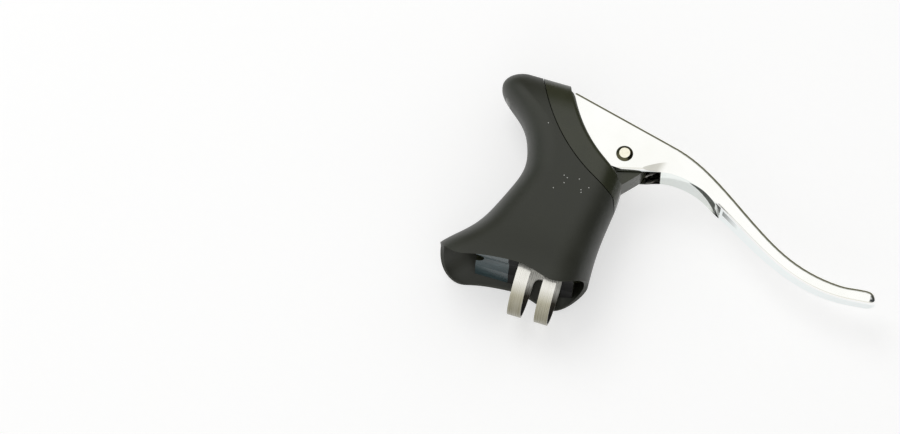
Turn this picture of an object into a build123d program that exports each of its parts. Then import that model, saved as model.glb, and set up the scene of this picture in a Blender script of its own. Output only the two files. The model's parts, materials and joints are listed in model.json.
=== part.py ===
"""Drop-bar brake lever: rubber hood, black bracket, polished blade and a twin-arm bar clamp.

The frame: +X runs along the handlebar towards the tip of the blade, +Y points away from the bar,
and +Z runs along the blade's pivot. The origin is the centre of the clamp strap's loop, in the
lever's plane of symmetry, with the strap drawn up into the bracket as the lever is sold.
"""

import os
from math import acos, atan2, cos, hypot, radians, sin, sqrt

from build123d import *

os.makedirs("parts", exist_ok=True)

# Handlebar and clamp strap
bar_r = 11.9  # radius of the bar that the strap closes on
strap_t = 0.8  # strip thickness
strap_arm_w = 4.7  # width of each of the two arms
strap_arm_gap = 5.0  # slot between the arms
strap_slot_y = 6.5  # height at which the slot ends and the arms join
strap_lean = 20.0  # degrees past the loop's middle at which the strip leaves the bar
strap_reach = 8.0  # how far the strap runs out to take a bar
strap_play = 0.6  # side play of the strap in the bracket's well
strap_bend = 1.0  # inner bend beside the plate

# Clamp bolt, its washer and its long nut
bolt_r = 2.5
bolt_head_r = 4.25
bolt_head_h = 5.0
bolt_socket = 4.0  # across flats
bolt_socket_depth = 2.6
bolt_tip_y = 15.0
bolt_chamfer = 0.5
washer_r = 4.6
washer_t = 1.0
nut_r = 4.0
nut_flange = 10.8  # square flange under the strap's plate
nut_flange_t = 1.8
nut_len = 18.4
nut_bar_gap = 0.7  # between the nut and a bar in the loop
thread_play = 0.06  # radial play left in place of the thread
slide_play = 0.3  # radial play of sliding and loosely seated pieces

# Grip: the outer form that hood and bracket share
hood_wall = 1.7
lip_thin = 0.6  # how much thinner the hood's wall is at its mouth
lip_below = 5.0  # height under which it is that thin
strap_room = 2.5  # from the strap's outer face to the hood's, at the mouth
skin_gap = 0.15  # between the hood and the bracket under it
seam_gap = 0.35  # open line between the hood's front edge and the bracket's collar
grip_corner = 0.93  # corner radius of a grip section as a share of its half width

# Bracket
foot_y = 2.8  # lower face of the bracket, inside the hood's mouth
foot_back_x = -23.5  # where that face ends, towards the hood's back lip
foot_front_x = 12.0
back_hollow_y = 18.5  # top of the hollow behind the foot
front_hollow_y = 8.0
well_wall = 3.0  # bracket left between the strap's well and the bolt's seat
well_head = 1.2  # room over the strap's plate
nut_head = 1.6  # room over the long nut
head_play = 0.45  # round the bolt's head
collar_lap = 2.0  # how far the core runs on into the collar
collar_round = 1.7  # rounded front edge of the collar
cheek_ahead = 1.2  # how far the collar's cheeks stand ahead of the face between them
cheek_play = 0.4  # between a cheek and the blade's ear

# Pivot
pivot_x = 15.6
pivot_y = 54.0
pin_r = 2.5
pin_head_r = 3.0
pin_face_r = 1.9
pin_head_h = 0.8
pin_tail = 0.9  # pin left beyond the clip
pin_play = 0.03
bush_wall = 0.9
bush_flange_t = 0.6
bush_flange_r = 4.6
boss_wall = 5.1
ear_play = 0.1  # between a bush flange and the blade's ear
clip_r = 4.2
clip_t = 0.6
clip_groove = 0.5  # depth of the clip's groove in the pin
clip_mouth = 3.4  # width of the clip's open side

# Blade
ear_half = 7.6  # half width over the ears
ear_wall = 2.3
web_t = 2.2
rear_gap = 0.5  # between the blade's head and the bracket's front face
blade_round = 1.9  # rounded back edges
taper_from_x = 29.0
neck_x = 51.0
neck_half = 6.5
shank_x = 75.0
shank_half = 5.0
blade_tip_x = 114.3
tip_half = 3.7
tip_corner = 3.0
slot_end_x = 29.2  # front end of the slot that takes the tongue
channel_taper_x = 26.0
channel_end_x = 53.8
channel_end_half = 4.8

# Return spring
spring_wire_r = 0.45
spring_r = 4.0  # mean radius of the coil
spring_turns = 3
spring_space = 0.05  # between turns
spring_turn_to = -45.0  # side-view angle at which both legs leave the coil
spring_foot = 2.4  # leg on the bracket
spring_arm = 13.2  # leg under the blade's web
spring_play = 0.25
spring_floor = 0.7  # room under the coil

# Cable anchor and cable stop
anchor_x = 0.5
anchor_y = 63.0
anchor_r = 3.0
anchor_journal_r = 2.0
anchor_lug_t = 1.8
anchor_lug_wall = 1.6
anchor_play = 0.05
anchor_end_gap = 0.2
anchor_snap = 0.5  # how much narrower the lugs' mouths are than the journals
lug_h = 6.2  # from the anchor's middle up into the blade's web
lug_mouth_turn = 158.0  # side-view angle at which the lugs open
cable_hole_r = 1.1
cable_head_r = 2.0
cable_head_depth = 2.6
cable_way_r = 2.2
stop_x = -9.6
stop_y = 38.0
stop_r = 3.0
stop_len = 7.0
stop_floor = 1.6
housing_r = 2.5
housing_play = 0.1

# Rest bumper
bumper_y = 71.2
bumper_w = 6.0
bumper_h = 3.0
bumper_t = 1.4
bumper_proud = 0.2

# Values that follow from the ones above
strap_w = 2 * strap_arm_w + strap_arm_gap
well_half_x = strap_w / 2 + strap_play
nut_y = bar_r + nut_bar_gap
plate_y = nut_y + nut_flange_t  # underside of the strap's plate
well_top_y = plate_y + strap_t + well_head
nut_bore_y = nut_y + nut_len + nut_head
seat_y = nut_bore_y + well_wall
bar_seat_y = -strap_reach
mouth_half = bar_r + strap_t + strap_room  # half width of the grip at its mouth
channel_half = ear_half - ear_wall
tongue_half = channel_half - ear_play - bush_flange_t
bush_r = pin_r + pin_play + bush_wall
boss_r = bush_r + boss_wall
spring_pitch = 2 * spring_wire_r + spring_space
spring_h = spring_turns * spring_pitch
spring_half = spring_h / 2 + spring_wire_r + spring_play
anchor_half = channel_half - anchor_end_gap
lug_face_z = channel_half - anchor_lug_t
lug_r = anchor_journal_r + anchor_lug_wall
lug_mouth = 2 * anchor_journal_r - anchor_snap
anchor = Vector(anchor_x, anchor_y)
head_y = seat_y + washer_t
cable_len = hypot(anchor_x - stop_x, anchor_y - stop_y)
cable_dir = Vector(anchor_x - stop_x, anchor_y - stop_y) / cable_len
pivot = Vector(pivot_x, pivot_y)
pin_end = ear_half + clip_t + pin_tail
slot_in = spring_r + spring_wire_r + spring_floor
far = 200.0  # past everything

# Grip sections from mouth to crown: height, back edge, front edge, half width
grip_rows = (
    (-7.0, -36.5, 17.4, mouth_half),
    (3.0, -37.3, 17.0, mouth_half - 0.8),
    (8.0, -32.8, 16.8, mouth_half - 1.5),
    (13.0, -28.3, 16.6, mouth_half - 2.2),
    (25.5, -21.7, 17.0, 11.9),
    (38.0, -17.4, 18.2, 11.3),
    (46.5, -17.8, 18.5, 11.1),
    (53.5, -20.4, 17.6, 11.0),
    (60.0, -25.6, 15.6, 10.8),
    (65.5, -31.9, 11.6, 10.2),
    (70.0, -34.0, 5.8, 8.8),
    (73.4, -32.0, 0.0, 6.6),
    (75.3, -28.6, -6.2, 3.4),
)
crown_from = 65.0  # sections above this height come down by the wall as well

# Front outlines in side view: the hood's seam and the bracket's face behind the blade
seam_arc = ((-21.2, 76.5), (-7.6, 53.4), (16.3, 36.6))
seam_tail = (18.8, 32.0)
face_arc = ((-10.8, 77.0), (-1.9, 58.9), (17.9, 43.4))
face_tail = (20.0, -100.0)
tongue_low = (17.4, 43.0)
tongue_high = (0.0, 55.0)
tongue_root = (5.0, 48.0)

# Rim of the mouth: place along the bar, height of the rim in the middle, and its radius across
rim_rows = (
    (-55.0, 4.0, 18.0),
    (-45.0, 4.0, 18.0),
    (-37.0, 4.0, 18.0),
    (-32.0, 4.1, 18.5),
    (-26.5, 4.5, 20.0),
    (-20.0, 5.1, 22.0),
    (-13.0, 5.9, 22.0),
    (-8.0, 6.1, 22.0),
    (-3.0, 5.4, 22.0),
    (3.0, 3.7, 22.0),
    (9.0, 3.2, 22.0),
    (15.0, 4.5, 22.0),
    (21.0, 5.5, 22.0),
    (29.0, 6.0, 22.0),
)

# Blade outlines in side view: its back, and the side that fingers pull
back_rear = (-21.0, 76.05)
back_bend = (33.0, 62.35)
back_points = ((44.2, 58.0), (53.7, 52.35), (70.7, 40.9), (89.1, 32.4), (103.0, 30.9))
back_tip = (blade_tip_x - 4.9, 31.7)
tip_high = (blade_tip_x - 1.2, 30.7)
tip_end = (blade_tip_x - 0.1, 28.9)
tip_low = (blade_tip_x - 2.7, 26.7)
tip_way = (1.0, 0.1)
finger_way = (-1.0, -0.12)
ear_way = (-1.0, -0.27)
finger_points = ((101.0, 25.8), (92.0, 26.6), (80.0, 30.3), (67.2, 36.9), (56.0, 43.7), (47.8, 48.3))
finger_bend = (39.0, 51.5)
hump = (32.4, 52.4)
ear_corner = (27.2, 51.3)
ear_low = (13.9, 47.7)
ear_rear = (5.0, 45.3)
head_rear = (-21.0, 60.0)

# Finger bevel on the blade's inner edges: the crease on the side face, and the bevel's slope
crease = (
    (11.0, 48.0),
    (18.0, 49.85),
    (24.0, 51.8),
    (29.9, 54.9),
    (39.3, 55.7),
    (48.4, 52.9),
    (55.5, 46.6),
)
bevel_run = (-1.8, -4.6, -3.3)

# Shallow channel ahead of the slot: where it starts, bends and ends
channel_start_y = 55.6
channel_knee = (46.2, 52.9)
channel_end = (channel_end_x, 44.5)


def across_bar(height):
    """Plane across the grip at a height, with its x along the bar."""
    return Plane(origin=(0, height, 0), x_dir=(1, 0, 0), z_dir=(0, 1, 0))


def grip_form(inset):
    """Outer form of the grip, set in all round."""
    with BuildPart() as form:
        for height, back, front, half in grip_rows:
            drop = inset if height > crown_from else 0
            wall = inset - lip_thin if inset and height < lip_below else inset
            with BuildSketch(across_bar(height - drop)):
                with Locations(((back + front) / 2, 0)):
                    width = 2 * (half - wall)
                    RectangleRounded(front - back - 2 * wall, width, grip_corner * width / 2)
        loft()
    return form.part


def ahead_of(arc, tail, shift):
    """Everything in front of an arc in side view, after the arc moves forwards by a shift."""
    step = Vector(shift, shift) / sqrt(2)
    top, mid, low = (Vector(*point) + step for point in arc)
    end = Vector(*tail) + step
    with BuildPart() as block:
        with BuildSketch(Plane.XY):
            with BuildLine():
                ThreePointArc(top, mid, low)
                Polyline(low, end, (far, end.Y), (far, far), (top.X, far), top)
            make_face()
        extrude(amount=far, both=True)
    return block.part


def tangent_point(start, centre, radius, side):
    """Where a line from a start touches a circle, to the left (+1) or right (-1) of the way there."""
    towards = start - centre
    angle = atan2(towards.Y, towards.X) - side * acos(radius / towards.length)
    return centre + Vector(cos(angle), sin(angle)) * radius


def circle_centre(arc):
    """Centre of the circle through three side-view points."""
    (ax, ay), (bx, by), (cx, cy) = arc
    d = 2 * (ax * (by - cy) + bx * (cy - ay) + cx * (ay - by))
    a2, b2, c2 = ax * ax + ay * ay, bx * bx + by * by, cx * cx + cy * cy
    x = (a2 * (by - cy) + b2 * (cy - ay) + c2 * (ay - by)) / d
    y = (a2 * (cx - bx) + b2 * (ax - cx) + c2 * (bx - ax)) / d
    return Vector(x, y)


def save(piece, name):
    """Label a finished piece and write it as its own file."""
    piece.label = name
    export_step(piece, f"parts/{name}.step")


grip_outer = grip_form(0)
grip_inner = grip_form(hood_wall)
grip_core = grip_form(hood_wall + skin_gap)
ahead_of_seam = ahead_of(seam_arc, seam_tail, 0)
ahead_of_gap = ahead_of(seam_arc, seam_tail, seam_gap)
ahead_of_lap = ahead_of(seam_arc, seam_tail, seam_gap + collar_lap)
ahead_of_face = ahead_of(face_arc, face_tail, 0)
ahead_of_cheeks = ahead_of(face_arc, face_tail, cheek_ahead)
ahead_of_rear = ahead_of(face_arc, face_tail, rear_gap)

# Lip form: what is cut away under the rim of the mouth
with BuildPart() as lip:
    for rim_x, rim_y, rim_r in rim_rows:
        with BuildSketch(Plane.YZ.offset(rim_x)):
            with Locations((rim_y - rim_r, 0)):
                Circle(rim_r)
    loft()

# Rubber hood: a shell over the bracket, open at the mouth and at the collar
with BuildPart() as hood:
    add(grip_outer)
    add(grip_inner, mode=Mode.SUBTRACT)
    add(ahead_of_seam, mode=Mode.SUBTRACT)
    add(lip.part, mode=Mode.SUBTRACT)
save(hood.part, "hood")

# Core of the bracket, under the hood
with BuildPart() as core:
    add(grip_core)
    add(ahead_of_lap, mode=Mode.SUBTRACT)

# Room between the collar's cheeks for the blade's head
with BuildPart() as head_room:
    add(ahead_of_face)
    with BuildSketch(Plane.XZ):
        Rectangle(2 * far, 2 * (ear_half + cheek_play))
    extrude(amount=far, both=True, mode=Mode.INTERSECT)

# Bracket: the core with the collar and the pivot's tongue in front of it
face_centre = circle_centre(face_arc)
face_r = hypot(face_arc[0][0] - face_centre.X, face_arc[0][1] - face_centre.Y)
bumper_x = face_centre.X - sqrt(face_r**2 - (bumper_y - face_centre.Y) ** 2)
bumper_at = Vector(bumper_x, bumper_y)
bumper_out = (face_centre - bumper_at).normalized()
bumper_plane = Plane(bumper_at + bumper_out * bumper_proud, x_dir=(0, 0, 1), z_dir=bumper_out)
cable_plane = Plane((stop_x, stop_y, 0), x_dir=(0, 0, 1), z_dir=cable_dir)
tongue_from = Vector(*tongue_low)
tongue_to = Vector(*tongue_high)
with BuildPart() as bracket:
    add(grip_outer)
    add(ahead_of_gap, mode=Mode.INTERSECT)
    add(ahead_of_cheeks, mode=Mode.SUBTRACT)
    collar_face = bracket.faces().filter_by(GeomType.CYLINDER).sort_by(SortBy.AREA)[0]
    fillet(collar_face.edges(), collar_round)
    add(head_room.part, mode=Mode.SUBTRACT)
    add(core.part)
    with BuildSketch(Plane.XY):
        with Locations(pivot):
            Circle(boss_r)
        with BuildLine():
            Polyline(
                tongue_from,
                tangent_point(tongue_from, pivot, boss_r, -1),
                pivot,
                tangent_point(tongue_to, pivot, boss_r, 1),
                tongue_to,
                tongue_root,
                tongue_from,
            )
        make_face()
    extrude(amount=tongue_half, both=True)
    # Foot, with the hollows before and behind it
    with BuildSketch(Plane.XY):
        with BuildLine():
            Polyline(
                (-far, -far),
                (far, -far),
                (far, front_hollow_y),
                (foot_front_x, front_hollow_y),
                (foot_front_x, foot_y),
                (foot_back_x, foot_y),
                (foot_back_x, back_hollow_y),
                (-far, back_hollow_y),
                (-far, -far),
            )
        make_face()
    extrude(amount=far, both=True, mode=Mode.SUBTRACT)
    # Seat that a bar comes to rest in
    with BuildSketch(Plane.YZ):
        with Locations((bar_seat_y, 0)):
            Circle(bar_r)
    extrude(amount=far, both=True, mode=Mode.SUBTRACT)
    # Well for the strap
    with BuildSketch(Plane.XY):
        Rectangle(2 * well_half_x, 2 * well_top_y)
    extrude(amount=far, both=True, mode=Mode.SUBTRACT)
    # Stepped bore for the long nut, the bolt and its head
    with BuildSketch(across_bar(0)):
        Circle(nut_r + slide_play)
    extrude(amount=nut_bore_y, mode=Mode.SUBTRACT)
    with BuildSketch(across_bar(0)):
        Circle(bolt_r + slide_play)
    extrude(amount=seat_y, mode=Mode.SUBTRACT)
    with BuildSketch(across_bar(seat_y)):
        Circle(bolt_head_r + head_play)
    extrude(amount=far, mode=Mode.SUBTRACT)
    # Way for the cable, seat of its stop, and way for its housing
    with BuildSketch(cable_plane):
        Circle(cable_way_r)
    extrude(amount=cable_len, mode=Mode.SUBTRACT)
    with BuildSketch(cable_plane):
        Circle(stop_r)
    extrude(amount=-stop_len, mode=Mode.SUBTRACT)
    with BuildSketch(cable_plane):
        Circle(housing_r + housing_play)
    extrude(amount=-far, mode=Mode.SUBTRACT)
    # Bush bores, and the slot that holds the spring, with its front wall along the spring's long leg
    with BuildSketch(Plane.XY):
        with Locations(pivot):
            Circle(bush_r)
    extrude(amount=tongue_half, both=True, mode=Mode.SUBTRACT)
    with BuildSketch(Plane.XY):
        with Locations(pivot):
            Polygon(
                (-slot_in, -slot_in),
                (slot_in * (sqrt(2) - 1), -slot_in),
                (slot_in * (sqrt(2) - 1) + far, far - slot_in),
                (-slot_in, far - slot_in),
                align=None,
            )
    extrude(amount=spring_half, both=True, mode=Mode.SUBTRACT)
    # Pocket for the bumper
    with BuildSketch(bumper_plane):
        Rectangle(bumper_w, bumper_h)
    extrude(amount=-bumper_t, mode=Mode.SUBTRACT)
save(bracket.part, "bracket")

# Rest bumper: rubber block that the blade's head comes back to
with BuildPart() as bumper:
    with BuildSketch(bumper_plane):
        Rectangle(bumper_w, bumper_h)
    extrude(amount=-bumper_t)
save(bumper.part, "rest_bumper")

# Cable stop: ferrule that the housing pushes into
with BuildPart() as stop:
    with BuildSketch(cable_plane):
        Circle(stop_r)
    extrude(amount=-stop_len)
    with BuildSketch(cable_plane):
        Circle(cable_hole_r)
    extrude(amount=-stop_len, mode=Mode.SUBTRACT)
    with BuildSketch(cable_plane.offset(-stop_floor)):
        Circle(housing_r + housing_play)
    extrude(amount=-stop_len, mode=Mode.SUBTRACT)
save(stop.part, "cable_stop")

# Pivot bushes: flanged sleeves in the tongue's two cheeks
with BuildPart() as bush_near:
    with BuildSketch(Plane.XY.offset(spring_half)):
        with Locations(pivot):
            Circle(bush_r)
    extrude(amount=tongue_half - spring_half)
    with BuildSketch(Plane.XY.offset(tongue_half)):
        with Locations(pivot):
            Circle(bush_flange_r)
    extrude(amount=bush_flange_t)
    with BuildSketch(Plane.XY):
        with Locations(pivot):
            Circle(pin_r + pin_play)
    extrude(amount=ear_half, mode=Mode.SUBTRACT)
save(bush_near.part, "pivot_bush_near")
with BuildPart() as bush_far:
    add(bush_near.part)
    mirror(about=Plane.XY, mode=Mode.REPLACE)
save(bush_far.part, "pivot_bush_far")

# Pivot pin: domed head on the near ear, clip groove beyond the far one
with BuildPart() as pin:
    with BuildSketch(Plane.XY.offset(-pin_end)):
        with Locations(pivot):
            Circle(pin_r)
    extrude(amount=pin_end + ear_half)
    with BuildSketch(Plane.XY.offset(ear_half)):
        with Locations(pivot):
            Circle(pin_head_r)
    with BuildSketch(Plane.XY.offset(ear_half + pin_head_h)):
        with Locations(pivot):
            Circle(pin_face_r)
    loft()
    with BuildSketch(Plane.XY.offset(-ear_half)):
        with Locations(pivot):
            Circle(clip_r)
            Circle(pin_r - clip_groove, mode=Mode.SUBTRACT)
    extrude(amount=-clip_t, mode=Mode.SUBTRACT)
save(pin.part, "pivot_pin")

# Retaining clip: open ring in the pin's groove
with BuildPart() as clip:
    with BuildSketch(Plane.XY.offset(-ear_half)):
        with Locations(pivot):
            Circle(clip_r)
            Circle(pin_r - clip_groove, mode=Mode.SUBTRACT)
            Rectangle(clip_r, clip_mouth, align=(Align.MIN, Align.CENTER), mode=Mode.SUBTRACT)
    extrude(amount=-clip_t)
save(clip.part, "pivot_clip")

# Return spring: coil round the pin with a leg on the bracket and a leg under the blade
coil_place = Location(pivot - Vector(0, 0, spring_h / 2), (0, 0, spring_turn_to))
coil = coil_place * Helix(spring_pitch, spring_h, spring_r)
with BuildPart() as spring:
    with BuildSketch(Plane(coil @ 0, z_dir=coil % 0)):
        Circle(spring_wire_r)
    sweep(path=coil, is_frenet=True)
    with BuildSketch(Plane(coil @ 0, z_dir=coil % 0)):
        Circle(spring_wire_r)
    extrude(amount=-spring_foot)
    with BuildSketch(Plane(coil @ 1, z_dir=coil % 1)):
        Circle(spring_wire_r)
    extrude(amount=spring_arm)
save(spring.part, "return_spring")

# Room inside the blade: the slot that takes the tongue, and a shallow channel that narrows ahead of it
rear = Vector(*back_rear)
bend = Vector(*back_bend)
back_way = (bend - rear).normalized()
web_in = back_way.rotate(Axis.Z, -90) * web_t
slot_end = rear + web_in + back_way * ((slot_end_x - rear.X - web_in.X) / back_way.X)
slope = Vector(*bevel_run)
with BuildPart() as channel:
    with BuildSketch(Plane.XY):
        with BuildLine():
            Polyline(rear + web_in, slot_end, (slot_end_x, channel_start_y))
            ThreePointArc((slot_end_x, channel_start_y), channel_knee, channel_end)
            Polyline(channel_end, (channel_end_x, 0), (rear.X, 0), rear + web_in)
        make_face()
    extrude(amount=channel_half, both=True)
    with BuildSketch(Plane.XZ):
        with BuildLine():
            Polyline(
                (rear.X, 0),
                (rear.X, channel_half),
                (channel_taper_x, channel_half),
                (channel_end_x, channel_end_half),
                (channel_end_x, 0),
                (rear.X, 0),
            )
        make_face()
        mirror(about=Plane.XZ)
    extrude(amount=far, both=True, mode=Mode.INTERSECT)

# Finger bevel, cut slanting in from the near side face and mirrored
with BuildPart() as bevel:
    with BuildSketch(Plane.XY.offset(ear_half)):
        with BuildLine():
            Spline(*crease)
            Polyline(crease[-1], (crease[-1][0], 0), (crease[0][0], 0), crease[0])
        make_face()
    extrude(amount=slope.length, dir=slope.normalized())
    mirror(about=Plane.XY)

# Blade: side outline, narrowed in plan, rounded, then hollowed for the tongue
with BuildLine() as back_line:
    Line(back_rear, back_bend)
    Spline(back_bend, *back_points, back_tip, tangents=(back_way, tip_way))
    Spline(back_tip, tip_high, tip_end, tip_low, tangents=(tip_way, finger_way))
with BuildPart() as blade:
    with BuildSketch(Plane.XY):
        with BuildLine():
            add(back_line.line)
            Spline(tip_low, *finger_points, finger_bend, hump, ear_corner, tangents=(finger_way, ear_way))
            Polyline(ear_corner, ear_low, ear_rear, head_rear, back_rear)
        make_face()
    extrude(amount=ear_half, both=True)
    with BuildSketch(Plane.XZ):
        with BuildLine():
            Polyline((blade_tip_x, tip_half), (blade_tip_x, 0), (rear.X, 0))
            Polyline((rear.X, 0), (rear.X, ear_half), (taper_from_x, ear_half))
            Spline(
                (taper_from_x, ear_half),
                (neck_x, neck_half),
                (shank_x, shank_half),
                (blade_tip_x, tip_half),
                tangents=((1, 0), (1, 0)),
            )
        make_face()
        mirror(about=Plane.XZ)
        fillet(vertices().group_by(Axis.X)[-1], tip_corner)
    extrude(amount=far, both=True, mode=Mode.INTERSECT)
    add(ahead_of_rear, mode=Mode.INTERSECT)
    back_edges = blade.edges().filter_by(
        lambda edge: min(abs((edge @ 0).Z), abs((edge @ 1).Z)) > 0.1
        and back_line.line.distance_to(Vertex((edge @ 0.5).X, (edge @ 0.5).Y, 0)) < 0.02
    )
    fillet(back_edges, blade_round)
    add(channel.part, mode=Mode.SUBTRACT)
    add(bevel.part, mode=Mode.SUBTRACT)
    # Lugs for the cable anchor, open to the rear
    with BuildSketch(Plane.XY.offset(lug_face_z)):
        with Locations(anchor):
            Circle(lug_r)
            Rectangle(2 * lug_r, lug_h, align=(Align.CENTER, Align.MIN))
    extrude(amount=anchor_lug_t)
    with BuildSketch(Plane.XY.offset(-lug_face_z)):
        with Locations(anchor):
            Circle(lug_r)
            Rectangle(2 * lug_r, lug_h, align=(Align.CENTER, Align.MIN))
    extrude(amount=-anchor_lug_t)
    with BuildSketch(Plane.XY):
        with Locations(anchor):
            Circle(anchor_journal_r + anchor_play)
        with Locations(Location(anchor, (0, 0, lug_mouth_turn))):
            Rectangle(lug_h, lug_mouth, align=(Align.MIN, Align.CENTER))
    extrude(amount=channel_half, both=True, mode=Mode.SUBTRACT)
    # Holes for the pivot pin
    with BuildSketch(Plane.XY):
        with Locations(pivot):
            Circle(pin_r)
    extrude(amount=ear_half, both=True, mode=Mode.SUBTRACT)
save(blade.part, "blade")

# Cable anchor: barrel with a journal at each end, drilled for the cable and its head
anchor_plane = Plane(anchor, x_dir=(0, 0, 1), z_dir=cable_dir)
with BuildPart() as barrel:
    with BuildSketch(Plane.XY):
        with Locations(anchor):
            Circle(anchor_r)
    extrude(amount=lug_face_z - slide_play, both=True)
    with BuildSketch(Plane.XY):
        with Locations(anchor):
            Circle(anchor_journal_r)
    extrude(amount=anchor_half, both=True)
    with BuildSketch(anchor_plane):
        Circle(cable_hole_r)
    extrude(amount=2 * anchor_r, both=True, mode=Mode.SUBTRACT)
    with BuildSketch(anchor_plane.offset(anchor_r - cable_head_depth)):
        Circle(cable_head_r)
    extrude(amount=2 * anchor_r, mode=Mode.SUBTRACT)
save(barrel.part, "cable_anchor")


def strap_form(offset):
    """The strap's loop as a solid, grown by an offset from its inner face."""
    radius = bar_r + offset
    top = plate_y + offset
    lean = radians(strap_lean)
    leave_y = radius * sin(lean)
    leave_z = radius * cos(lean)
    top_z = leave_z - (top - leave_y) * sin(lean) / cos(lean)
    with BuildPart() as form:
        with BuildSketch(Plane.YZ) as outline:
            with BuildLine():
                ThreePointArc((leave_y, leave_z), (-radius, 0), (leave_y, -leave_z))
                Polyline((leave_y, -leave_z), (top, -top_z), (top, top_z), (leave_y, leave_z))
            make_face()
            fillet(outline.vertices().group_by(Axis.X)[-1], strap_bend + offset)
        extrude(amount=strap_w / 2, both=True)
    return form.part


# Clamp strap: a band bent round the bar, slotted into two arms, with a plate for the nut on top
strap_outer = strap_form(strap_t)
strap_inner = strap_form(0)
with BuildPart() as strap:
    add(strap_outer)
    add(strap_inner, mode=Mode.SUBTRACT)
    with BuildSketch(Plane.XY):
        with Locations((0, strap_slot_y)):
            Rectangle(strap_arm_gap, far, align=(Align.CENTER, Align.MAX))
        fillet(vertices().group_by(Axis.Y)[-1], 0.48 * strap_arm_gap)
    extrude(amount=far, both=True, mode=Mode.SUBTRACT)
    with BuildSketch(across_bar(0)):
        Circle(nut_r)
    extrude(amount=far, mode=Mode.SUBTRACT)
save(strap.part, "clamp_strap")

# Long nut: a sleeve with a square flange under the strap's plate
with BuildPart() as nut:
    with BuildSketch(across_bar(nut_y)):
        Rectangle(nut_flange, nut_flange)
    extrude(amount=nut_flange_t)
    with BuildSketch(across_bar(nut_y)):
        Circle(nut_r)
    extrude(amount=nut_len)
    with BuildSketch(across_bar(nut_y)):
        Circle(bolt_r + thread_play)
    extrude(amount=nut_len, mode=Mode.SUBTRACT)
save(nut.part, "clamp_nut")

# Washer under the bolt's head
with BuildPart() as washer:
    with BuildSketch(across_bar(seat_y)):
        Circle(washer_r)
        Circle(bolt_r + slide_play, mode=Mode.SUBTRACT)
    extrude(amount=washer_t)
save(washer.part, "clamp_washer")

# Clamp bolt: reached with a key from the front of the bracket
with BuildPart() as bolt:
    with BuildSketch(across_bar(bolt_tip_y)):
        Circle(bolt_r)
    extrude(amount=head_y - bolt_tip_y)
    with BuildSketch(across_bar(head_y)):
        Circle(bolt_head_r)
    extrude(amount=bolt_head_h)
    chamfer(bolt.edges().group_by(Axis.Y)[0], bolt_chamfer)
    chamfer(bolt.edges().group_by(Axis.Y)[-1], bolt_chamfer)
    with BuildSketch(across_bar(head_y + bolt_head_h)):
        RegularPolygon(bolt_socket / 2, 6, major_radius=False)
    extrude(amount=-bolt_socket_depth, mode=Mode.SUBTRACT)
save(bolt.part, "clamp_bolt")
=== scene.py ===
"""Looks of the drop-bar brake lever: finishes, floor, light and camera."""

import json
import math

import bpy
from mathutils import Matrix, Vector


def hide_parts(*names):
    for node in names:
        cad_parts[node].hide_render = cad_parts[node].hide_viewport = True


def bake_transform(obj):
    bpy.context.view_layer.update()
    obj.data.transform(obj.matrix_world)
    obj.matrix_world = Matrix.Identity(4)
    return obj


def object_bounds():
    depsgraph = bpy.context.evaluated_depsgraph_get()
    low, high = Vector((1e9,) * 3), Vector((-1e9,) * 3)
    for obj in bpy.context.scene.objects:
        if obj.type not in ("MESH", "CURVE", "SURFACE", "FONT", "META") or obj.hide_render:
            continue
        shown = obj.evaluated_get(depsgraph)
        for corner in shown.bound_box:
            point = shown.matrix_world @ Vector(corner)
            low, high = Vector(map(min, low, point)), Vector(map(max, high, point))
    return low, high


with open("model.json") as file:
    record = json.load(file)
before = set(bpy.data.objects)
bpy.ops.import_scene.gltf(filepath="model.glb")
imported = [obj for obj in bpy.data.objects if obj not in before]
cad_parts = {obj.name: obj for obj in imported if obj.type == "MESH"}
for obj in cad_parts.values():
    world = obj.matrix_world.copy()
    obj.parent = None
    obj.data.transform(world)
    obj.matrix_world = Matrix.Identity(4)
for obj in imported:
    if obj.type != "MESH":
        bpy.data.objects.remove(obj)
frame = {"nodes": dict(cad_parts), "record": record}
cad_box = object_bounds()

MM = 0.001

# Photograph: its frame, and where and how large the lever is in it
PHOTO_SIZE = (900, 434)  # pixels
ORIGIN_PIXEL = (537.3, 285.0)  # where the frame's origin shows
PIXELS_PER_M = 2870.0
CAMERA_AZIMUTH = 17.5  # degrees
CAMERA_ELEVATION = 67.0
CAMERA_DISTANCE = 1.01  # metres
CAMERA_NEAR = 0.01
SENSOR_MM = 36.0

# Room, in metres and watts: white floor, a large soft lamp overhead, and a low one in front
FLOOR_SIZE = 6.0
FLOOR_COLOUR = (0.62, 0.62, 0.615)
FLOOR_MOTTLE = 0.985  # how dark its darker grain is beside its colour
FLOOR_LIFT = 0.53  # what camera and mirror rays see on top of the lit floor
KEY_PLACE = (-0.7, 0.5, 1.2)
KEY_SIZE = 1.0
KEY_POWER = 6.0
FILL_PLACE = (0.2, -1.2, 0.5)
FILL_SIZE = 0.9
FILL_POWER = 1.5
AMBIENT = 0.5  # even light of the room

# What mirrors see of the room: a white ceiling over darker walls
CEILING = (1.03, 1.03, 1.01)
WALL_BACK = (0.13, 0.125, 0.075)
WALL_FRONT = (0.85, 0.84, 0.78)
WALL_LEFT = (0.3, 0.36, 0.34)
WALL_RIGHT = (0.05, 0.055, 0.055)
CEILING_TILT = (-0.25, -0.22)  # how the ceiling's edge rises to the right and to the back
CEILING_EDGE = (0.46, 0.7)  # heights between which wall turns to ceiling
SIDE_TURN = (0.3, 0.7)  # from left to right, between which the left wall turns to the right one
END_TURN = (0.4, 0.85)  # how far to front or back the side walls turn to the end walls

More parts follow.
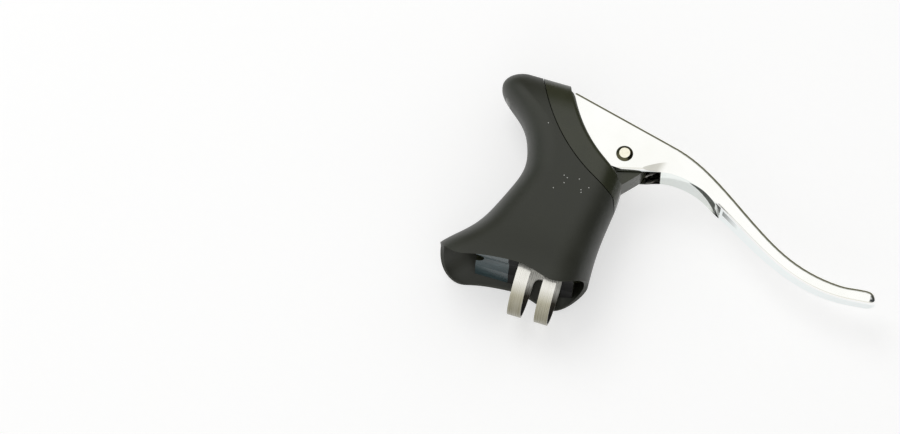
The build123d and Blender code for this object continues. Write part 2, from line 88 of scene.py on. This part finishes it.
# Hood: its rubber, and white dust on its near side, with the specks' places in side view
RUBBER_DARK = (0.024, 0.0255, 0.0185)
RUBBER_LIGHT = (0.029, 0.031, 0.0225)
DUST_COLOUR = (0.6, 0.6, 0.57)
DUST_SIZE = 0.18 * MM
DUST_MM = (
    (-13.1, 55.9),
    (-2.0, 38.0),
    (-0.7, 37.4),
    (-1.2, 35.2),
    (-4.2, 32.2),
    (3.5, 38.2),
    (7.6, 36.0),
    (5.2, 34.4),
    (5.5, 33.4),
)

# Bracket: its plastic, and the face in the mouth, with a pale bluish painted reflection to the left and a
# painted shade by the strap
BRACKET_DARK = (0.026, 0.029, 0.015)
BRACKET_LIGHT = (0.034, 0.037, 0.02)
# Painted reflection, pale and bluish, on the foot's face to the left
FOOT_REFLECTION_DARK = (0.018, 0.04, 0.046)
FOOT_REFLECTION_LIGHT = (0.06, 0.1, 0.11)
# Painted shade on the rest of the foot's face, with a rough finish
FOOT_SHADE = (0.002, 0.002, 0.002)
FOOT_SHADE_ROUGH = (0.95, 0.95, 0.95)
FOOT_BELOW = 5.0 * MM
FOOT_FACING = -0.85  # a face whose normal's Y is below this looks out of the mouth
FOOT_REFLECTION_TO = -11.5 * MM

# Blade: its alloy, with a bluish grey painted reflection of shade on the finger side, whose normal's Y
# and Z are below these
ALLOY_BRIGHT = (0.98, 0.98, 0.97)
ALLOY_WARM = (0.94, 0.94, 0.915)
FINGER_REFLECTED_SHADE = (0.86, 0.9, 0.9)
FINGER_FACING_Y = -0.3
FINGER_FACING_Z = 0.2

# Blade: a streak of painted shade, dark and rougher, that widens along the channel's floor, crosses it,
# and fades out beyond
STREAK_SHADE_COLOUR = (0.05, 0.06, 0.05)
STREAK_ROUGH = (0.4, 0.4, 0.4)
STREAK_FROM = 39.0 * MM
STREAK_TURN = 51.0 * MM
STREAK_TO = 53.4 * MM
STREAK_Z = (-5.2 * MM, -1.4 * MM)  # its near edge from its start to the turn
STREAK_END_Z = -0.4 * MM  # its far edge beyond the turn
FADE_FROM = 54.4 * MM
FADE_TO = 61.0 * MM
FADE_Z = (0.4 * MM, 4.0 * MM)
FADE_SHADE = 0.8  # how strong the painted shade is where the fade starts

# Strap: painted light and shade from the loop's bottom up, dark below and white at the top, outside and
# inside it, and the light of its brushed lines
STRAP_LIGHT_AND_SHADE = ((0.27, 0.25, 0.17), (0.5, 0.475, 0.37), (0.97, 0.955, 0.9))
STRAP_INNER_LIGHT_AND_SHADE = ((0.02, 0.02, 0.02), (0.1, 0.09, 0.07), (0.97, 0.96, 0.9))
STRAP_LINES = (0.7, 0.68, 0.6)

# Strap: the radius that tells its inner face, and the heights over which the painted light and shade of
# outer and inner faces brighten
STRAP_INNER = 12.2 * MM
STRAP_SHADING_HEIGHTS = (-12.5 * MM, -5.0 * MM)
STRAP_INNER_SHADING_HEIGHTS = (-6.0 * MM, 5.0 * MM)

# Pin: its steel, and the radius at which its face turns to a rim of painted shade
PIN_PALE = (0.96, 0.93, 0.8)
PIN_DEEP = (0.9, 0.86, 0.7)
PIN_RIM_SHADE = (0.1, 0.095, 0.055)
PIN_FACE = 1.95 * MM

# The blade's pivot
PIVOT = frame["record"]["behaviour"]["joints"][0]["pos_m"]

# Small turned and drawn metal pieces: grain to the metre, even or drawn out along an axis, and its depth
GRAIN_EVEN = (900, 900, 900)
GRAIN_ALONG_Y = (900, 300, 900)
GRAIN_ALONG_Z = (900, 900, 300)
GRAIN_DEPTH = 0.02 * MM
METAL_SHADE = 0.93  # how dark the darker clouds are beside the colour
PLASTIC_SHADE = 0.85


def adder(tree):
    """A short way to add nodes to a tree and set or link their inputs."""

    def add(kind, links=None, **settings):
        node = tree.nodes.new(kind)
        for name, value in settings.items():
            setattr(node, name, value)
        for socket, source in (links or {}).items():
            if isinstance(source, bpy.types.NodeSocket):
                tree.links.new(source, node.inputs[socket])
            else:
                node.inputs[socket].default_value = source
        return node

    return add


def new_material(name, **sockets):
    """A material with constant values on the shader's own sockets, and ways to add and link nodes."""
    material = bpy.data.materials.new(name)
    material.use_nodes = True
    tree = material.node_tree
    shader = next(n for n in tree.nodes if n.type == "BSDF_PRINCIPLED")
    for socket, value in sockets.items():
        shader.inputs[socket.replace("_", " ")].default_value = value

    def link(source, socket):
        tree.links.new(source, shader.inputs[socket])

    return material, adder(tree), link


def ramp(add, factor, *stops):
    """A colour ramp over a factor; each stop is a place and a grey or a colour."""
    node = add("ShaderNodeValToRGB", {"Fac": factor})
    elements = node.color_ramp.elements
    while len(elements) < len(stops):
        elements.new(0.5)
    for element, (place, value) in zip(elements, stops):
        element.position = place
        element.color = (*value, 1) if isinstance(value, tuple) else (value, value, value, 1)
    return node.outputs["Color"]


def object_coords(add, scale=(1, 1, 1)):
    """Object coordinates in metres, stretched by a scale."""
    coords = add("ShaderNodeTexCoord")
    mapping = add("ShaderNodeMapping", {"Vector": coords.outputs["Object"], "Scale": scale})
    return mapping.outputs["Vector"]


def noise(add, vector, scale, detail=3.0, rough=0.5):
    """Noise of so many lumps to the metre."""
    node = add(
        "ShaderNodeTexNoise",
        {"Vector": vector, "Scale": scale, "Detail": detail, "Roughness": rough},
    )
    return node.outputs["Fac"]


def line_noise(add, scale):
    """Fine lines or grain, of so many to the metre along each axis."""
    return noise(add, object_coords(add, scale), 1.0, 4.0, 0.6)


def bump(add, height, distance, strength):
    """A bump of a height in metres."""
    links = {"Height": height, "Distance": distance, "Strength": strength}
    return add("ShaderNodeBump", links).outputs["Normal"]


def mix(add, factor, a, b):
    """Colour a where the factor is 0, b where it is 1."""
    node = add("ShaderNodeMix", data_type="RGBA")
    tree = node.id_data
    for index, value in ((0, factor), (6, a), (7, b)):
        if isinstance(value, bpy.types.NodeSocket):
            tree.links.new(value, node.inputs[index])
        else:
            node.inputs[index].default_value = value if index == 0 else (*value, 1)
    return node.outputs[2]


def math_node(add, operation, *values):
    """The result of a sum on sockets and numbers."""
    node = add("ShaderNodeMath", dict(enumerate(values)), operation=operation)
    return node.outputs[0]


def below(add, value, limit):
    """1 where a value is below a limit."""
    return math_node(add, "LESS_THAN", value, limit)


def above(add, value, limit):
    """1 where a value is above a limit."""
    return math_node(add, "GREATER_THAN", value, limit)


def both(add, a, b):
    """The part that two masks share."""
    return math_node(add, "MULTIPLY", a, b)


def either(add, a, b):
    """The parts of two masks together."""
    return math_node(add, "MAXIMUM", a, b)


def spread(add, value, ends, results=(0.0, 1.0)):
    """A value between two ends, carried over to two results and held at them beyond."""
    links = {0: value, 1: ends[0], 2: ends[1], 3: results[0], 4: results[1]}
    return add("ShaderNodeMapRange", links).outputs[0]


def place_and_facing(add):
    """A surface's place in metres and the way it faces, each as X, Y and Z sockets."""
    place = add("ShaderNodeSeparateXYZ", {"Vector": add("ShaderNodeTexCoord").outputs["Object"]})
    facing = add("ShaderNodeSeparateXYZ", {"Vector": add("ShaderNodeTexCoord").outputs["Normal"]})
    return place.outputs, facing.outputs


def side_distance(add, place, point):
    """How far a surface's place is from a point, in side view."""
    flat = add("ShaderNodeCombineXYZ", {"X": place["X"], "Y": place["Y"]}).outputs[0]
    return add("ShaderNodeVectorMath", {0: flat, 1: point}, operation="DISTANCE").outputs["Value"]


def dust_mask(add):
    """1 on the dust specks of the hood's near side."""
    place, _ = place_and_facing(add)
    nearest = None
    for x, y in DUST_MM:
        away = side_distance(add, place, (x * MM, y * MM, 0))
        nearest = math_node(add, "MINIMUM", nearest, away) if nearest else away
    near_side = above(add, place["Z"], 0.0)
    return both(add, below(add, nearest, DUST_SIZE), near_side)


def rubber_material():
    """Charcoal moulded rubber: fine grain, faint mottling, a soft sheen, a few specks of dust."""
    material, add, link = new_material("hood_rubber", Specular_IOR_Level=0.5)
    coords = object_coords(add)
    cloud = noise(add, coords, 90)
    grain = noise(add, coords, 2600, 2.0)
    rubber = ramp(add, cloud, (0.3, RUBBER_DARK), (0.7, RUBBER_LIGHT))
    link(mix(add, dust_mask(add), rubber, DUST_COLOUR), "Base Color")
    link(ramp(add, cloud, (0.3, 0.4), (0.75, 0.48)), "Roughness")
    link(bump(add, grain, 0.08 * MM, 0.4), "Normal")
    return material


def bracket_material():
    """Black moulded plastic, half gloss, with an olive cast; its foot has a pale bluish painted
    reflection to the left and a painted shade on the rest.
    """
    material, add, link = new_material("bracket_black", Specular_IOR_Level=0.55)
    coords = object_coords(add)
    place, facing = place_and_facing(add)
    foot = both(add, below(add, place["Y"], FOOT_BELOW), below(add, facing["Y"], FOOT_FACING))
    # The foot's face gets a painted reflection to the left and a painted shade on the rest
    reflection_patch = both(add, foot, below(add, place["X"], FOOT_REFLECTION_TO))
    shade_patch = math_node(add, "SUBTRACT", foot, reflection_patch)
    cloud = noise(add, coords, 120)
    grain = noise(add, coords, 1800, 2.0)
    reflection_streaks = line_noise(add, (150, 900, 900))
    moulded = ramp(add, cloud, (0.3, BRACKET_DARK), (0.7, BRACKET_LIGHT))
    pale = ramp(add, reflection_streaks, (0.35, FOOT_REFLECTION_DARK), (0.7, FOOT_REFLECTION_LIGHT))
    gloss = ramp(add, cloud, (0.3, 0.24), (0.75, 0.32))
    link(mix(add, shade_patch, mix(add, reflection_patch, moulded, pale), FOOT_SHADE), "Base Color")
    link(mix(add, shade_patch, gloss, FOOT_SHADE_ROUGH), "Roughness")
    link(bump(add, grain, 0.04 * MM, 0.3), "Normal")
    return material


def metal_material(name, colour, rough, grain_scale):
    """Turned or drawn metal with a fine grain and a faint change of tone."""
    material, add, link = new_material(name, Metallic=1.0)
    lines = line_noise(add, grain_scale)
    cloud = noise(add, object_coords(add), 60)
    shade = tuple(METAL_SHADE * c for c in colour)
    link(ramp(add, cloud, (0.35, colour), (0.7, shade)), "Base Color")
    link(ramp(add, lines, (0.3, rough[0]), (0.7, rough[1])), "Roughness")
    link(bump(add, lines, GRAIN_DEPTH, 0.5), "Normal")
    return material


def streak_mask(add, x, z):
    """1 on the streak of painted shade in the blade's channel, falling to 0 along its fade."""
    widening = below(add, z, spread(add, x, (STREAK_FROM, STREAK_TURN), STREAK_Z))
    widening = both(add, widening, below(add, x, STREAK_TURN))
    crossing = both(add, above(add, x, STREAK_TURN), below(add, x, STREAK_TO))
    crossing = both(add, crossing, above(add, z, STREAK_END_Z))
    fade = spread(add, x, (FADE_FROM, FADE_TO), (FADE_SHADE, 0.0))
    fade = both(add, above(add, x, FADE_FROM), fade)
    band = both(add, above(add, z, FADE_Z[0]), below(add, z, FADE_Z[1]))
    return either(add, either(add, widening, crossing), both(add, fade, band))


def blade_material():
    """Polished alloy with faint buffing lines; its finger side is greyer, a painted reflection of shade,
    with a rougher streak of painted shade.
    """
    material, add, link = new_material("polished_alloy", Metallic=1.0)
    place, facing = place_and_facing(add)
    inward = below(add, facing["Y"], FINGER_FACING_Y)
    square_on = below(add, math_node(add, "ABSOLUTE", facing["Z"]), FINGER_FACING_Z)
    finger_side = both(add, inward, square_on)
    # Painted shade: the streak darkens and roughens the channel's floor
    streak_shade = both(add, finger_side, streak_mask(add, place["X"], place["Z"]))
    lines = line_noise(add, (60, 900, 900))
    cloud = noise(add, object_coords(add), 60)
    bright = ramp(add, cloud, (0.35, ALLOY_BRIGHT), (0.7, ALLOY_WARM))
    # Painted reflection of shade: the finger side turns bluish grey
    toned = mix(add, finger_side, bright, FINGER_REFLECTED_SHADE)
    polished = ramp(add, lines, (0.3, 0.05), (0.7, 0.09))
    link(mix(add, streak_shade, toned, STREAK_SHADE_COLOUR), "Base Color")
    link(mix(add, streak_shade, polished, STREAK_ROUGH), "Roughness")
    link(bump(add, lines, 0.01 * MM, 0.4), "Normal")
    return material


def strap_material():
    """Satin steel strip, brushed along its length, with painted shade towards the loop's bottom and on
    its inner face, and painted light towards the top, outside and inside.
    """
    material, add, link = new_material("strap_steel", Metallic=0.5)
    place, facing = place_and_facing(add)
    y, z = place["Y"], place["Z"]
    across = add("ShaderNodeCombineXYZ", {"Y": y, "Z": z}).outputs[0]
    from_axis = add("ShaderNodeVectorMath", {0: across}, operation="LENGTH").outputs["Value"]
    round_bar = below(add, from_axis, STRAP_INNER)
    turned_in = below(add, math_node(add, "MULTIPLY", facing["Z"], z), 0.0)
    inside = either(add, round_bar, turned_in)
    lines = line_noise(add, (2500, 40, 40))
    # Painted light and shade: darker towards the loop's bottom, white at its top
    low, middle, high = STRAP_LIGHT_AND_SHADE
    tone = ramp(add, spread(add, y, STRAP_SHADING_HEIGHTS), (0.0, low), (0.45, middle), (1.0, high))
    brushed = mix(add, ramp(add, lines, (0.35, 0.0), (0.75, 0.3)), tone, STRAP_LINES)
    # Painted light and shade on the inner face: dark below, white at the top
    low, middle, high = STRAP_INNER_LIGHT_AND_SHADE
    inner_light_and_shade = ramp(add, spread(add, y, STRAP_INNER_SHADING_HEIGHTS), (0.0, low), (0.5, middle), (0.9, high))
    link(mix(add, inside, brushed, inner_light_and_shade), "Base Color")
    link(ramp(add, lines, (0.3, 0.22), (0.7, 0.34)), "Roughness")
    link(bump(add, lines, 0.01 * MM, 0.5), "Normal")
    return material


def pin_material():
    """Turned steel with a yellow cast, with painted shade round the edge of its head."""
    material, add, link = new_material("pin_steel", Metallic=1.0)
    place, _ = place_and_facing(add)
    # Painted shade round the rim of the pin's head
    rim = above(add, side_distance(add, place, PIVOT), PIN_FACE)
    grain = noise(add, object_coords(add, GRAIN_EVEN), 1.0)
    face = ramp(add, grain, (0.3, PIN_PALE), (0.7, PIN_DEEP))
    link(mix(add, rim, face, PIN_RIM_SHADE), "Base Color")
    link(ramp(add, grain, (0.3, 0.14), (0.7, 0.24)), "Roughness")
    link(bump(add, grain, GRAIN_DEPTH, 0.4), "Normal")
    return material


def plastic_material(name, colour, rough):
    """Plain moulded plastic or rubber with fine grain."""
    material, add, link = new_material(name)
    coords = object_coords(add)
    cloud = noise(add, coords, 300)
    shade = tuple(PLASTIC_SHADE * c for c in colour)
    link(ramp(add, cloud, (0.3, colour), (0.7, shade)), "Base Color")
    link(ramp(add, cloud, (0.3, rough), (0.7, rough + 0.1)), "Roughness")
    link(bump(add, noise(add, coords, 3000), 0.05 * MM, 0.4), "Normal")
    return material


def dress(material, *names):
    """Give CAD nodes a finish."""
    for name in names:
        node = frame["nodes"][name]
        node.data.materials.clear()
        node.data.materials.append(material)


def dress_all():
    """Give every CAD node its finish."""
    bush = plastic_material("bush_plastic", (0.6, 0.58, 0.52), 0.5)
    wire = metal_material("spring_steel", (0.45, 0.44, 0.42), (0.25, 0.4), GRAIN_EVEN)
    brass = metal_material("anchor_brass", (0.72, 0.54, 0.26), (0.2, 0.3), GRAIN_ALONG_Z)
    alloy = metal_material("stop_alloy", (0.62, 0.62, 0.62), (0.25, 0.35), GRAIN_EVEN)
    plated = metal_material("bolt_steel", (0.56, 0.56, 0.55), (0.2, 0.35), GRAIN_ALONG_Y)
    bumper = plastic_material("bumper_rubber", (0.03, 0.03, 0.03), 0.7)
    dress(rubber_material(), "hood")
    dress(bracket_material(), "bracket")
    dress(blade_material(), "blade")
    dress(pin_material(), "pivot_pin", "pivot_clip")
    dress(bush, "pivot_bush_near", "pivot_bush_far")
    dress(wire, "return_spring")
    dress(brass, "cable_anchor")
    dress(alloy, "cable_stop")
    dress(strap_material(), "clamp_strap")
    dress(plated, "clamp_bolt", "clamp_nut", "clamp_washer")
    dress(bumper, "rest_bumper")


def make_spring():
    """A loose copy of the return spring's mesh, shown in place of the CAD node, which is hidden."""
    solid = frame["nodes"]["return_spring"]
    spring = bpy.data.objects.new("return_spring_wire", solid.data.copy())
    bpy.context.scene.collection.objects.link(spring)
    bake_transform(spring)
    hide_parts("return_spring")


def background_rays(add):
    """1 for rays that show the background: straight from the camera, mirrored, or through glass."""
    path = add("ShaderNodeLightPath").outputs
    seen = either(add, path["Is Camera Ray"], path["Is Glossy Ray"])
    return either(add, seen, path["Is Transmission Ray"])


def make_floor():
    """A level white floor under the lever, lifted to white for camera and mirror rays."""
    low = cad_box[0][2]
    half = FLOOR_SIZE / 2
    corners = [(-half, -half, low), (half, -half, low), (half, half, low), (-half, half, low)]
    mesh = bpy.data.meshes.new("floor")
    mesh.from_pydata(corners, [], [(0, 1, 2, 3)])
    floor = bpy.data.objects.new("floor", mesh)
    bpy.context.scene.collection.objects.link(floor)
    material, add, link = new_material(
        "floor_paper",
        Roughness=0.9,
        Specular_IOR_Level=0.1,
        Emission_Color=(1, 1, 1, 1),
    )
    grain = noise(add, object_coords(add), 400)
    dim = tuple(FLOOR_MOTTLE * c for c in FLOOR_COLOUR)
    link(ramp(add, grain, (0.3, dim), (0.7, FLOOR_COLOUR)), "Base Color")
    link(math_node(add, "MULTIPLY", background_rays(add), FLOOR_LIFT), "Emission Strength")
    mesh.materials.append(material)


def make_world():
    """An even room for soft light, white behind the lever, with walls and a ceiling for mirrors."""
    world = bpy.data.worlds.new("room")
    world.use_nodes = True
    bpy.context.scene.world = world
    tree = world.node_tree
    back = next(n for n in tree.nodes if n.type == "BACKGROUND")
    add = adder(tree)

    def turn(value, ends):
        return ramp(add, value, (ends[0], 0.0), (ends[1], 1.0))

    way = add("ShaderNodeSeparateXYZ", {"Vector": add("ShaderNodeTexCoord").outputs["Generated"]}).outputs
    left_to_right = math_node(add, "MULTIPLY_ADD", way["X"], 0.5, 0.5)
    sides = mix(add, turn(left_to_right, SIDE_TURN), WALL_LEFT, WALL_RIGHT)
    ends = mix(add, above(add, way["Y"], 0.0), WALL_FRONT, WALL_BACK)
    walls = mix(add, turn(math_node(add, "ABSOLUTE", way["Y"]), END_TURN), sides, ends)
    height = math_node(add, "MULTIPLY_ADD", way["Y"], CEILING_TILT[1], way["Z"])
    height = math_node(add, "MULTIPLY_ADD", way["X"], CEILING_TILT[0], height)
    room = mix(add, turn(height, CEILING_EDGE), walls, CEILING)
    unlit = mix(add, background_rays(add), (AMBIENT, AMBIENT, AMBIENT), room)
    from_camera = add("ShaderNodeLightPath").outputs["Is Camera Ray"]
    tree.links.new(mix(add, from_camera, unlit, (1, 1, 1)), back.inputs["Color"])


def make_lamp(name, place, size, power):
    """A square soft lamp that looks at the lever, and isn't seen in mirrors, which show the room."""
    data = bpy.data.lights.new(name, "AREA")
    data.size = size
    data.energy = power
    lamp = bpy.data.objects.new(name, data)
    lamp.location = place
    lamp.rotation_euler = (-Vector(place)).to_track_quat("-Z", "Y").to_euler()
    lamp.visible_glossy = False
    bpy.context.scene.collection.objects.link(lamp)


def make_camera():
    """Camera at the photograph's angle, with the frame's origin on its pixel."""
    azimuth = math.radians(CAMERA_AZIMUTH)
    elevation = math.radians(CAMERA_ELEVATION)
    right = Vector((math.cos(azimuth), math.sin(azimuth), 0))
    away = Vector((-math.sin(azimuth), math.cos(azimuth), 0))
    towards = -away * math.cos(elevation) + Vector((0, 0, math.sin(elevation)))
    up = towards.cross(right)
    across = (PHOTO_SIZE[0] / 2 - ORIGIN_PIXEL[0]) / PIXELS_PER_M
    along = (ORIGIN_PIXEL[1] - PHOTO_SIZE[1] / 2) / PIXELS_PER_M
    aim = right * across + up * along
    data = bpy.data.cameras.new("camera")
    data.sensor_fit = "HORIZONTAL"
    data.sensor_width = SENSOR_MM
    data.lens = SENSOR_MM * PIXELS_PER_M * CAMERA_DISTANCE / PHOTO_SIZE[0]
    data.clip_start = CAMERA_NEAR
    camera = bpy.data.objects.new("camera", data)
    turn = Matrix((right, up, towards)).transposed().to_4x4()
    camera.matrix_world = Matrix.Translation(aim + towards * CAMERA_DISTANCE) @ turn
    bpy.context.scene.collection.objects.link(camera)
    bpy.context.scene.camera = camera


dress_all()
make_spring()
make_floor()
make_world()
make_lamp("key", KEY_PLACE, KEY_SIZE, KEY_POWER)
make_lamp("fill", FILL_PLACE, FILL_SIZE, FILL_POWER)
make_camera()
bpy.context.scene.view_settings.view_transform = "Standard"
